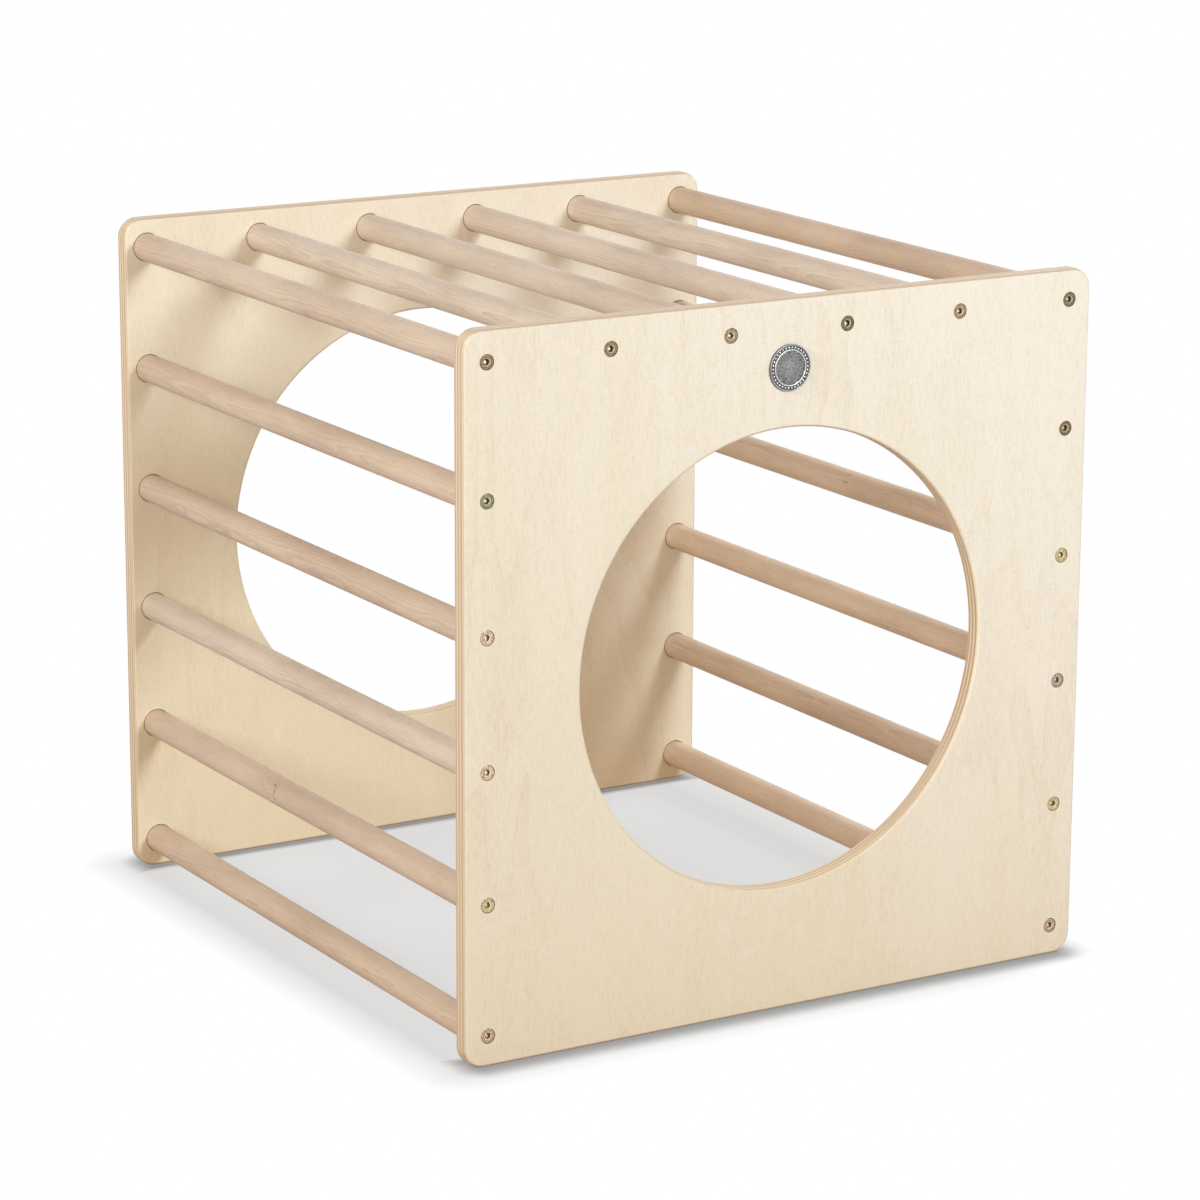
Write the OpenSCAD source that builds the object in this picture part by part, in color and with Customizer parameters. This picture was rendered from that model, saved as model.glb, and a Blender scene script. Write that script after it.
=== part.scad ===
// Play cube: two plywood ends with a crawl hole, joined by sixteen round rungs.
// Millimetres, +Z up. X runs along the ends and Y along the rungs, from front to rear.
// The origin is on the floor, in the middle of the footprint.

/* [End panels] */
// Width of each end panel
panel_w = 700; // [640:10:800]
// Height of each end panel
panel_h = 700; // [640:10:800]
// Thickness of the plywood
panel_t = 18; // [15:1:24]
// Radius of the panel's four corners
corner_r = 20; // [12:1:26]
// Radius worked on the outer edges of the panel
edge_r = 3; // [1:0.5:5]

/* [Crawl hole] */
// Diameter of the crawl hole in each end panel
hole_d = 452; // [380:4:480]
// Height of the middle of the crawl hole above the middle of the panel
hole_rise = 0; // [-10:1:5]
// Radius worked on both rims of the crawl hole
rim_r = 3; // [1:0.5:5]

/* [Rungs] */
// Diameter of each rung
rung_d = 29; // [25:1:32]
// Length of rung that shows between the end panels
rung_clear = 700; // [500:10:900]
// Side edge of the panel to the axis of the nearest rungs
side_margin = 25; // [23:1:32]
// Top edge of the panel to the axis of the top rungs
top_margin = 30; // [24:1:36]
// Floor to the axis of the lowest rungs
foot_margin = 30; // [24:1:60]
// Depth of the blind socket that holds a rung's end
socket_depth = 6; // [4:0.5:8]
// Play all round between a rung and its socket
socket_play = 0.2; // [0.1:0.05:0.3]
// Bevel turned on each end of a rung
rung_bevel = 1; // [0.5:0.25:1.5]

/* [Screws] */
// Diameter of the screw's shank
screw_d = 8; // [6:0.5:8.5]
// Whole length of the screw, head included
screw_len = 40; // [34:1:50]
// Diameter of the countersunk head
head_d = 14.25; // [13:0.25:18]
// Thickness of the head's straight edge, above its cone
head_edge = 0.6; // [0.3:0.1:1]
// Depth of the head's flat top below the panel's face
head_set = 0.3; // [0.1:0.1:0.6]
// Play all round between the head's edge and its countersink
head_play = 0.25; // [0.15:0.05:0.6]
// Play all round between the shank and its hole in the panel
shank_play = 0.25; // [0.1:0.05:0.5]
// Size of the hex socket, across its flats
hex_af = 5; // [4:0.5:6]
// Depth of the hex socket
hex_depth = 3.6; // [2.5:0.1:4.5]
// Width of the bevel round the hex socket's mouth
hex_bevel = 1.1; // [0.5:0.1:1.5]
// Bevel on the screw's tip
tip_bevel = 1; // [0.5:0.25:1.5]

/* [Threaded inserts] */
// Diameter over the insert's outer thread
insert_d = 12; // [11:0.5:14]
// Length of the insert
insert_len = 22; // [15:1:25]
// Pitch of the insert's outer thread
insert_pitch = 4; // [3:0.5:5]
// Height of the insert's outer thread
thread_h = 1; // [0.5:0.1:1.2]
// Distance that the insert sits below the rung's end
insert_set = 0.8; // [0.4:0.1:2]
// Play all round between the insert and its bore, and between the screw and the insert
thread_play = 0.05; // [0.02:0.01:0.1]
// Room in the rung beyond the screw's tip
tip_room = 4; // [2:1:10]

/* [Badge] */
// Diameter of the badge
badge_d = 45; // [42:1:52]
// Thickness of the badge at its rim
badge_t = 2.2; // [1.8:0.1:3]
// Top edge of the panel to the middle of the badge
badge_drop = 66; // [58:1:70]
// Width of the badge's raised rim
badge_rim_w = 1.8; // [1:0.1:2.5]
// Depth of the badge's fields below its rim
badge_sink = 0.8; // [0.4:0.1:1]
// Diameter of the badge's raised inner ring
badge_ring_d = 34; // [28:1:36]
// Width of the badge's raised inner ring
badge_ring_w = 1.2; // [0.8:0.1:2]
// Diameter of the adhesive pad behind the badge
pad_d = 38; // [30:1:41]
// Thickness of the adhesive pad
pad_t = 0.5; // [0.4:0.1:1]

/* [Hidden] */

$fn = 96;

// Length by which a cutter runs past the face that it opens
past = 1;
// Width of the ring that carries the rim's radius, beyond that radius
ring_land = 4;

// Rungs across the top, and rungs in each side column, both counting the corner rungs
across = 6;
up = 6;

// The panel's outer face lies half a depth from the origin
half_depth = rung_clear / 2 + panel_t;
hole_z = panel_h / 2 + hole_rise;
rung_pitch_x = (panel_w - 2 * side_margin) / (across - 1);
rung_pitch_z = (panel_h - top_margin - foot_margin) / (up - 1);
top_z = panel_h - top_margin;
column_x = panel_w / 2 - side_margin;
rung_len = rung_clear + 2 * socket_depth;
shank_hole_d = screw_d + 2 * shank_play;
head_cone_h = (head_d - screw_d) / 2;
// Plywood left between a screw's head and its rung
web = panel_t - socket_depth;
insert_bore_d = insert_d + 2 * thread_play;
insert_bore_len = insert_set + insert_len;
tip_bore_len = head_set + screw_len + tip_room - web;

birch = [0.93, 0.87, 0.75];
beech = [0.84, 0.72, 0.60];
zinc_yellow = [0.66, 0.57, 0.40];
brass = [0.79, 0.65, 0.33];
pewter = [0.56, 0.57, 0.58];
foam = [0.90, 0.90, 0.88];

// Middle of each rung as [x, z]: the top row from left to right, then the left and the right column
// from the top down, without the corner rungs, which belong to the top row
top_spots = [for (i = [0 : across - 1]) [-column_x + i * rung_pitch_x, top_z]];
left_spots = [for (i = [1 : up - 1]) [-column_x, top_z - i * rung_pitch_z]];
right_spots = [for (i = [1 : up - 1]) [column_x, top_z - i * rung_pitch_z]];
all_spots = concat(top_spots, left_spots, right_spots);

// Places its children at every rung, with their +Z turned to the rear
module at_rungs() {
    for (spot = all_spots)
        translate([spot[0], 0, spot[1]])
            rotate([-90, 0, 0])
                children();
}

// Section through the panel's edge: a strip with both arrises rounded, and its outer face at x = 0
module edge_section(depth, r) {
    translate([-depth, 0])
        square([depth - r, panel_t]);
    translate([-depth, r])
        square([depth, panel_t - 2 * r]);
    for (z = [r, panel_t - r])
        translate([-r, z])
            circle(r);
}

// Straight edge along +Y, of the given length, with its outer face at x = 0
module straight_edge(length) {
    translate([0, length / 2, 0])
        rotate([90, 0, 0])
            linear_extrude(length)
                edge_section(corner_r, edge_r);
}

// Quarter of a rounded corner about the origin, over +X and +Y
module corner_edge() {
    rotate_extrude(angle = 90)
        intersection() {
            translate([corner_r, 0])
                edge_section(corner_r, edge_r);
            square([corner_r, panel_t]);
        }
}

// Panel without its holes, lying flat with its middle at the origin
module panel_blank() {
    inner_w = panel_w - 2 * corner_r;
    inner_h = panel_h - 2 * corner_r;
    translate([-inner_w / 2, -inner_h / 2, 0])
        cube([inner_w, inner_h, panel_t]);
    for (side = [0, 1]) {
        rotate(180 * side)
            translate([panel_w / 2, 0, 0])
                straight_edge(inner_h);
        rotate(90 + 180 * side)
            translate([panel_h / 2, 0, 0])
                straight_edge(inner_w);
    }
    for (sx = [-1, 1], sy = [-1, 1])
        translate([sx * inner_w / 2, sy * inner_h / 2, 0])
            rotate(sx > 0 ? (sy > 0 ? 0 : 270) : (sy > 0 ? 90 : 180))
                corner_edge();
}

// Ring round the crawl hole that carries the radius of both rims
module hole_rim() {
    rotate_extrude()
        translate([hole_d / 2, 0])
            mirror([1, 0])
                edge_section(rim_r + ring_land, rim_r);
}

// Countersunk hole for one screw, from the outer face at z = 0 inwards along +Z
module screw_hole() {
    mouth = head_set + head_edge;
    translate([0, 0, -past])
        cylinder(h = past + mouth, d = head_d + 2 * head_play);
    translate([0, 0, mouth])
        cylinder(h = head_cone_h, d1 = head_d, d2 = screw_d);
    translate([0, 0, mouth])
        cylinder(h = panel_t, d = shank_hole_d);
}

// Blind socket for one rung, on the inner side of a panel whose outer face is at z = 0
module rung_socket() {
    translate([0, 0, web])
        cylinder(h = socket_depth + past, d = rung_d + 2 * socket_play);
}

// End panel at the front of the cube. The rear one is the same panel, turned round
module end_panel() {
    color(birch)
        translate([0, -half_depth, 0])
            difference() {
                union() {
                    difference() {
                        translate([0, panel_t, panel_h / 2])
                            rotate([90, 0, 0])
                                panel_blank();
                        translate([0, -past, hole_z])
                            rotate([-90, 0, 0])
                                cylinder(h = panel_t + 2 * past, d = hole_d + 2 * (rim_r + ring_land));
                    }
                    translate([0, panel_t, hole_z])
                        rotate([90, 0, 0])
                            hole_rim();
                }
                at_rungs() {
                    screw_hole();
                    rung_socket();
                }
            }
}

module front_panel() {
    end_panel();
}

module rear_panel() {
    rotate(180)
        end_panel();
}

// Bore in a rung's end for the insert, and beyond it for the screw's tip, along +Z
module insert_bore() {
    translate([0, 0, -past])
        cylinder(h = past + insert_bore_len, d = insert_bore_d);
    cylinder(h = tip_bore_len, d = shank_hole_d);
}

// Rung with its axis along +Z and its middle at the origin
module rung() {
    color(beech)
        difference() {
            union() {
                translate([0, 0, rung_bevel - rung_len / 2])
                    cylinder(h = rung_len - 2 * rung_bevel, d = rung_d);
                for (end = [0, 1])
                    mirror([0, 0, end])
                        translate([0, 0, rung_len / 2 - rung_bevel])
                            cylinder(h = rung_bevel, d1 = rung_d, d2 = rung_d - 2 * rung_bevel);
            }
            for (end = [0, 1])
                mirror([0, 0, end])
                    translate([0, 0, -rung_len / 2])
                        insert_bore();
        }
}

module rung_at(spot) {
    translate([spot[0], 0, spot[1]])
        rotate([-90, 0, 0])
            rung();
}

// Screw driven along +Z, with the panel's outer face at z = 0
module screw() {
    hex_d = hex_af / cos(30);
    color(zinc_yellow)
        translate([0, 0, head_set])
            difference() {
                union() {
                    cylinder(h = head_edge, d = head_d);
                    translate([0, 0, head_edge])
                        cylinder(h = head_cone_h, d1 = head_d, d2 = screw_d);
                    translate([0, 0, head_edge + head_cone_h])
                        cylinder(h = screw_len - head_edge - head_cone_h - tip_bevel, d = screw_d);
                    translate([0, 0, screw_len - tip_bevel])
                        cylinder(h = tip_bevel, d1 = screw_d, d2 = screw_d - 2 * tip_bevel);
                }
                translate([0, 0, -past])
                    cylinder(h = hex_depth + past, d = hex_d, $fn = 6);
                cylinder(h = hex_bevel, d1 = hex_af + 2 * hex_bevel, d2 = hex_af);
            }
}

module all_screws() {
    translate([0, -half_depth, 0])
        at_rungs()
            screw();
}

// Threaded insert along +Z, with its outer end at z = 0: a bored barrel with a coarse outer thread,
// drawn as one ridge for each pitch
module insert() {
    barrel_r = insert_d / 2 - thread_h;
    ridges = floor(insert_len / insert_pitch);
    first = (insert_len - ridges * insert_pitch) / 2;
    // Foot, crest and foot of one ridge, as [height above the barrel, share of the pitch]
    ridge = [[0, 0.2], [thread_h, 0.5], [0, 0.8]];
    outline = concat(
        [[0, 0], [barrel_r, 0]],
        [for (i = [0 : ridges - 1], p = ridge) [barrel_r + p[0], first + (i + p[1]) * insert_pitch]],
        [[barrel_r, insert_len], [0, insert_len]]
    );
    color(brass)
        difference() {
            rotate_extrude()
                polygon(outline);
            translate([0, 0, -past])
                cylinder(h = insert_len + 2 * past, d = screw_d + 2 * thread_play);
        }
}

module all_inserts() {
    translate([0, -half_depth + web + insert_set, 0])
        at_rungs()
            insert();
}

// Badge on the front panel: a raised rim, a bare band, a raised ring and a bare middle field
module badge() {
    field_t = badge_t - badge_sink;
    round_r = badge_sink / 2;
    color(pewter)
        translate([0, -half_depth - pad_t, panel_h - badge_drop])
            rotate([90, 0, 0])
                rotate_extrude() {
                    square([badge_d / 2, field_t]);
                    translate([badge_d / 2 - badge_rim_w, 0])
                        square([badge_rim_w - round_r, badge_t]);
                    translate([badge_d / 2 - badge_rim_w, 0])
                        square([badge_rim_w, badge_t - round_r]);
                    translate([badge_d / 2 - round_r, badge_t - round_r])
                        circle(round_r);
                    translate([(badge_ring_d - badge_ring_w) / 2, 0])
                        square([badge_ring_w, badge_t]);
                }
}

// Adhesive pad between the badge and the front panel
module badge_pad() {
    color(foam)
        translate([0, -half_depth, panel_h - badge_drop])
            rotate([90, 0, 0])
                cylinder(h = pad_t, d = pad_d);
}

module front_screws() {
    all_screws();
}

module rear_screws() {
    rotate(180)
        all_screws();
}

module front_inserts() {
    all_inserts();
}

module rear_inserts() {
    rotate(180)
        all_inserts();
}

front_panel();
rear_panel();
rung_at(top_spots[0]);  // top_rung_1
rung_at(top_spots[1]);  // top_rung_2
rung_at(top_spots[2]);  // top_rung_3
rung_at(top_spots[3]);  // top_rung_4
rung_at(top_spots[4]);  // top_rung_5
rung_at(top_spots[5]);  // top_rung_6
rung_at(left_spots[0]);  // left_rung_1
rung_at(left_spots[1]);  // left_rung_2
rung_at(left_spots[2]);  // left_rung_3
rung_at(left_spots[3]);  // left_rung_4
rung_at(left_spots[4]);  // left_rung_5
rung_at(right_spots[0]);  // right_rung_1
rung_at(right_spots[1]);  // right_rung_2
rung_at(right_spots[2]);  // right_rung_3
rung_at(right_spots[3]);  // right_rung_4
rung_at(right_spots[4]);  // right_rung_5
front_screws();
rear_screws();
front_inserts();
rear_inserts();
badge();
badge_pad();
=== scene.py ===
# %% [markdown]
# # A play cube of plywood and beech
# Two square plywood ends, each with a round crawl hole, stand seventy centimetres apart. Sixteen
# round rungs join them: six across the top and five down each side. Every rung end sits in a blind
# socket, and a countersunk screw goes through the plywood into a threaded insert in the rung.
# The packed solids already hold the sizes. This lesson dresses them: it models the faces that show
# with finer meshes and wires a finish for each material. It begins by loading the packed solids.

# %% Load the frame
import math
import random

import bmesh
import bpy
from mathutils import Euler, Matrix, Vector, geometry


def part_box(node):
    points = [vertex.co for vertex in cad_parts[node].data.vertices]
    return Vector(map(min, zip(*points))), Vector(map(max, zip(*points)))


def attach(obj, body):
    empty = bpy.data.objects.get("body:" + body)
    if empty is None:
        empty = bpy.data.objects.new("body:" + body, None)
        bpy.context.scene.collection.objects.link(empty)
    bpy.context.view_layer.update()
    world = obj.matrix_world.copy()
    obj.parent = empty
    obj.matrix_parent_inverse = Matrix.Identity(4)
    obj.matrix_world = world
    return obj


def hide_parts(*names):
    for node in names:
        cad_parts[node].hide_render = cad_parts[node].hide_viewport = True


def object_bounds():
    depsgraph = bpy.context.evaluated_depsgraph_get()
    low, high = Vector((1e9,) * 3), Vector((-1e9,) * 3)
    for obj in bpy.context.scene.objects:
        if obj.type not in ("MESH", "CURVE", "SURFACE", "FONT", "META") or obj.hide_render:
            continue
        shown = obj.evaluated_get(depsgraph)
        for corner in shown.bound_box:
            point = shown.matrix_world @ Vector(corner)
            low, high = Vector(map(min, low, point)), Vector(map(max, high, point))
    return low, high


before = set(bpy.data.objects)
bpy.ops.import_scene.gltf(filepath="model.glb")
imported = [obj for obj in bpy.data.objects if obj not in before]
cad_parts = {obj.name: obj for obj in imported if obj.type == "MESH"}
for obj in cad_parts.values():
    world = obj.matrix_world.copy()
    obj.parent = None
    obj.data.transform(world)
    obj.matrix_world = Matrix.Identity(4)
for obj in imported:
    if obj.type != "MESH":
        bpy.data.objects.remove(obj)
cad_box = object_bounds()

MM = 0.001
print("solids loaded:", len(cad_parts), "box:", [round(size, 4) for size in cad_box[1] - cad_box[0]])

# %% [markdown]
# ## The camera
# The camera stands off the front left corner, a little over four metres away, and looks down a
# little through a long lens, so the uprights stay almost parallel. The place, the aim and the lens
# were worked out from where the screws, the hole and the corners lie in the picture. A camera object
# could also be framed by eye, but with a known cube in view the numbers are better. There is no lens
# shift, so any other view of the cube keeps the same plain lens.

# %% Set up the camera
CAMERA_PLACE = Vector((-2.1852, -3.6739, 1.4078))
CAMERA_AIM = Vector((0.0083, -0.0109, 0.3300))
CAMERA_ROLL = math.radians(0.266)
CAMERA_LENS = 128.97
SENSOR = 36.0


def add_camera():
    data = bpy.data.cameras.new("camera")
    data.lens = CAMERA_LENS
    data.sensor_fit = "HORIZONTAL"
    data.sensor_width = SENSOR
    camera = bpy.data.objects.new("camera", data)
    bpy.context.scene.collection.objects.link(camera)
    turn = (CAMERA_AIM - CAMERA_PLACE).to_track_quat("-Z", "Y")
    camera.rotation_mode = "QUATERNION"
    camera.rotation_quaternion = turn @ Euler((0, 0, CAMERA_ROLL)).to_quaternion()
    camera.location = CAMERA_PLACE
    return camera


bpy.context.scene.camera = add_camera()
print("camera distance:", round((CAMERA_AIM - CAMERA_PLACE).length, 3), "m")

# %% [markdown]
# ## The studio
# The cube was photographed in a white studio. Its lamps can be read from the wood. The hole and the
# top edge of the front panel throw their outlines on the rear panel, and the right rungs throw soft
# slanted shadows there, which puts the main lamp in front, low and a little to the right. The left
# rungs are brightest on their left sides, so a second lamp stands at the left. A third one behind on
# the right lights the rungs that show through the hole. All are round area lamps, which give the
# same soft edges as softboxes. A weak fourth behind the cube keeps the rear from going dark. Their
# powers and tints were found by rendering each lamp alone and weighing the pictures until their sum
# came close to the photograph, and then all were turned down a little together. The world fills the
# shade with warmer light. To the camera and in the metal it shows as plain white, so the background
# is white and the birch keeps its tone.

# %% Light the studio
WORLD_STRENGTH = 0.368
WORLD_TINT = (1.0, 0.73, 0.62, 1)
LAMP_AIM = Vector((0.0, 0.0, 0.35))
# Height above the horizon and turn to the right of straight ahead in degrees, distance and diameter
# in metres, power in watts and colour
SOFTBOXES = {
    "front_softbox": (20, 12, 4.5, 1.0, 107.0, (0.83, 0.955, 1.0)),
    "left_softbox": (25, -80, 5.0, 1.2, 176.0, (0.895, 1.0, 0.975)),
    "right_softbox": (30, 110, 4.0, 1.4, 107.0, (0.755, 0.95, 1.0)),
    "rear_softbox": (15, 180, 3.0, 1.0, 16.0, (0.68, 0.90, 1.0)),
}


def seen_directly(tree):
    """1 for rays that show the surroundings themselves: camera, mirror and glass rays."""
    rays = tree.nodes.new("ShaderNodeLightPath")
    total = rays.outputs["Is Camera Ray"]
    for kind in ("Is Glossy Ray", "Is Transmission Ray"):
        either = tree.nodes.new("ShaderNodeMath")
        either.operation = "MAXIMUM"
        tree.links.new(total, either.inputs[0])
        tree.links.new(rays.outputs[kind], either.inputs[1])
        total = either.outputs[0]
    return total


def light_world():
    world = bpy.data.worlds.new("studio")
    bpy.context.scene.world = world
    world.use_nodes = True
    tree = world.node_tree
    lamp = tree.nodes["Background"]
    lamp.inputs["Strength"].default_value = WORLD_STRENGTH
    lamp.inputs["Color"].default_value = WORLD_TINT
    backdrop = tree.nodes.new("ShaderNodeBackground")
    backdrop.inputs["Color"].default_value = (1, 1, 1, 1)
    chosen = tree.nodes.new("ShaderNodeMixShader")
    tree.links.new(seen_directly(tree), chosen.inputs[0])
    tree.links.new(lamp.outputs[0], chosen.inputs[1])
    tree.links.new(backdrop.outputs[0], chosen.inputs[2])
    tree.links.new(chosen.outputs[0], tree.nodes["World Output"].inputs["Surface"])


def place_softbox(name, height, side, distance, size, watts, tint):
    data = bpy.data.lights.new(name, "AREA")
    data.shape = "DISK"
    data.size = size
    data.energy = watts
    data.color = tint
    lamp = bpy.data.objects.new(name, data)
    bpy.context.scene.collection.objects.link(lamp)
    lamp.visible_camera = False
    up = math.radians(height)
    turn = math.radians(side)
    towards = Vector((math.cos(up) * math.sin(turn), -math.cos(up) * math.cos(turn), math.sin(up)))
    lamp.location = LAMP_AIM + towards * distance
    lamp.rotation_mode = "QUATERNION"
    lamp.rotation_quaternion = towards.to_track_quat("Z", "Y")


light_world()
for name, settings in SOFTBOXES.items():
    place_softbox(name, *settings)
bpy.context.scene.view_settings.view_transform = "Standard"
print("lamps:", sorted(SOFTBOXES))

# %% [markdown]
# ## A bench for finishes
# Wood and metal need many small nodes: noise stretched along the grain, bands bent into rings, and
# sums of both. They could be placed by hand in the node editor, but a written recipe can be given
# another seed or another axis and made again. Each call of this helper adds a node or a few and
# gives back the output, so that a recipe reads from top to bottom.

# %% The helper that wires a finish
# The Mix node has two inputs and an output of its own for each kind of value
MIX_SOCKETS = {"FLOAT": (2, 3, 0), "VECTOR": (4, 5, 1), "RGBA": (6, 7, 2)}


class Finish:
    """A material in the making. Most calls return the socket that holds their result."""

    def __init__(self, name):
        self.material = bpy.data.materials.new(name)
        self.material.use_nodes = True
        self.tree = self.material.node_tree
        self.shader = self.tree.nodes["Principled BSDF"]

    def node(self, kind, inputs, **settings):
        """Adds a node with these inputs and settings, and returns the node."""
        made = self.tree.nodes.new(kind)
        for name, value in settings.items():
            setattr(made, name, value)
        for socket, value in inputs.items():
            self.feed(made.inputs[socket], value)
        return made

    def feed(self, socket, value):
        """Links another socket to this one, or sets it to a plain value."""
        if isinstance(value, bpy.types.NodeSocket):
            self.tree.links.new(value, socket)
        else:
            socket.default_value = value

    def shade(self, **values):
        """Sets or links the shader's own sockets; an underscore stands for a space."""
        for name, value in values.items():
            self.feed(self.shader.inputs[name.replace("_", " ")], value)

    def place(self):
        """Where a point lies in the cube's frame, in metres."""
        return self.node("ShaderNodeTexCoord", {}).outputs["Object"]

    def split(self, vector):
        return self.node("ShaderNodeSeparateXYZ", {0: vector}).outputs

    def join(self, x, y, z):
        return self.node("ShaderNodeCombineXYZ", {0: x, 1: y, 2: z}).outputs[0]

    def length(self, vector):
        return self.node("ShaderNodeVectorMath", {0: vector}, operation="LENGTH").outputs["Value"]

    def math(self, operation, *values):
        return self.node("ShaderNodeMath", dict(enumerate(values)), operation=operation).outputs[0]

    def clamp(self, value):
        return self.node("ShaderNodeClamp", {0: value}).outputs[0]

    def total(self, *parts):
        """Sum of (value, weight) pairs."""
        result = 0.0
        for value, weight in parts:
            result = self.math("MULTIPLY_ADD", value, weight, result)
        return result

    def weigh(self, parts, weights, start):
        """Sum of the named parts by their named weights, with start added, kept from 0 to 1."""
        pairs = [(parts[name], weight) for name, weight in weights.items()]
        return self.clamp(self.total(*pairs, (start, 1.0)))

    def remap(self, value, low, high, to_low=0.0, to_high=1.0):
        """Turns low to high into to_low to to_high with a soft start and end."""
        inputs = {"Value": value, "From Min": low, "From Max": high, "To Min": to_low, "To Max": to_high}
        return self.node("ShaderNodeMapRange", inputs, interpolation_type="SMOOTHSTEP").outputs[0]

    def band(self, value, rise, full, fall, gone):
        """1 between full and fall, 0 below rise and above gone."""
        return self.math("MULTIPLY", self.remap(value, rise, full), self.remap(value, gone, fall))

    def stretch(self, place, scale, shift=(0.0, 0.0, 0.0)):
        inputs = {"Vector": place, "Scale": scale, "Location": shift}
        return self.node("ShaderNodeMapping", inputs).outputs[0]

    def turned(self, place, middle, turn):
        """The place as seen from another middle and turned axes."""
        inputs = {"Vector": place, "Location": middle, "Rotation": turn}
        return self.node("ShaderNodeMapping", inputs, vector_type="TEXTURE").outputs[0]

    def noise(self, place, scale, detail=2.0, roughness=0.5):
        """Soft noise, 0 to 1, with so many cells a metre along each axis."""
        own = self.stretch(place, scale)
        inputs = {"Vector": own, "Scale": 1.0, "Detail": detail, "Roughness": roughness}
        return self.node("ShaderNodeTexNoise", inputs).outputs[0]

    def blend(self, share, first, second, kind="RGBA"):
        """From first at a share of 0 to second at 1: two colours, two vectors or two numbers."""
        one, other, result = MIX_SOCKETS[kind]
        inputs = {0: share, one: first, other: second}
        return self.node("ShaderNodeMix", inputs, data_type=kind).outputs[result]

    def coats(self, ground, *layers):
        """Lays colours on a ground one after another, each given as (strength, where, colour)."""
        for strength, where, tone in layers:
            ground = self.blend(self.math("MULTIPLY", where, strength), ground, tone)
        return ground

    def bump(self, height, strength, distance):
        inputs = {"Height": height, "Strength": strength, "Distance": distance}
        return self.node("ShaderNodeBump", inputs).outputs[0]


def colour(red, green, blue):
    """A colour written in linear light, ready for a socket."""
    return (red, green, blue, 1.0)


print("the bench can:", ", ".join(call for call in vars(Finish) if not call.startswith("__")))

# %% [markdown]
# ## The floor
# The floor is a white sweep that takes the cube's shadow and nothing else. In the photograph it is
# an even grey under the cube, with a dark soft band where the ends touch it, and it fades to plain
# white a hand's breadth outside, sooner on the right. A plain matt floor would come out blotchy,
# because the warm light of the wood falls on it. So the camera sees mostly a painted shadow: a plain
# tone set by how far a place lies outside the cube's footprint, darkened in a band at the ends' feet,
# and beside it a share of the matt floor with its true shadow. Rays on their way to the wood meet a
# plain glow instead, which paints the light that the floor bounces: tan near the cube, where the
# floor gets its light from the wood, and a paler grey further off. The plane lies a hair below the
# cube, so no two faces share a place.

# %% Paint the floor
FLOOR_WHITE = colour(0.95, 0.93, 0.93)
# Painted bounce light that the floor gives to rays on their way to the wood
GLOW_NEAR = colour(0.415, 0.263, 0.143)
GLOW_FAR = colour(0.587, 0.525, 0.506)
GLOW_REACH = 0.6
# Tone of the painted shadow under the cube, and how far it fades out on each side
UNDER_SHADOW = 0.722
FADE_LEFT = 55 * MM
FADE_RIGHT = 26 * MM
# From this share of the half width outwards the left width turns into the right one
FADE_TURN = 0.6
FADE_POWER = 0.8
TRUE_SHADOW = 0.14
# Tone, start, reach and inset of the painted contact shadow at the ends' feet, and its inner line
FOOT_SHADOW = 0.38
FOOT_START = 2 * MM
FOOT_REACH = 34 * MM
FOOT_INSET = 20 * MM
LINE_REACH = 9 * MM
# How far inside the cube's box the zone between its ends begins and is full
BETWEEN_START = 16 * MM
BETWEEN_FULL = 38 * MM


def outside(floor, folded, half_x, half_y):
    """Distance on the floor from a rectangle of that half size round the middle, in metres."""
    inputs = {0: folded, 1: (half_x, half_y, 1.0)}
    past = floor.node("ShaderNodeVectorMath", inputs, operation="SUBTRACT").outputs[0]
    kept = floor.node("ShaderNodeVectorMath", {0: past, 1: (0, 0, 0)}, operation="MAXIMUM").outputs[0]
    return floor.length(kept)


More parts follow.
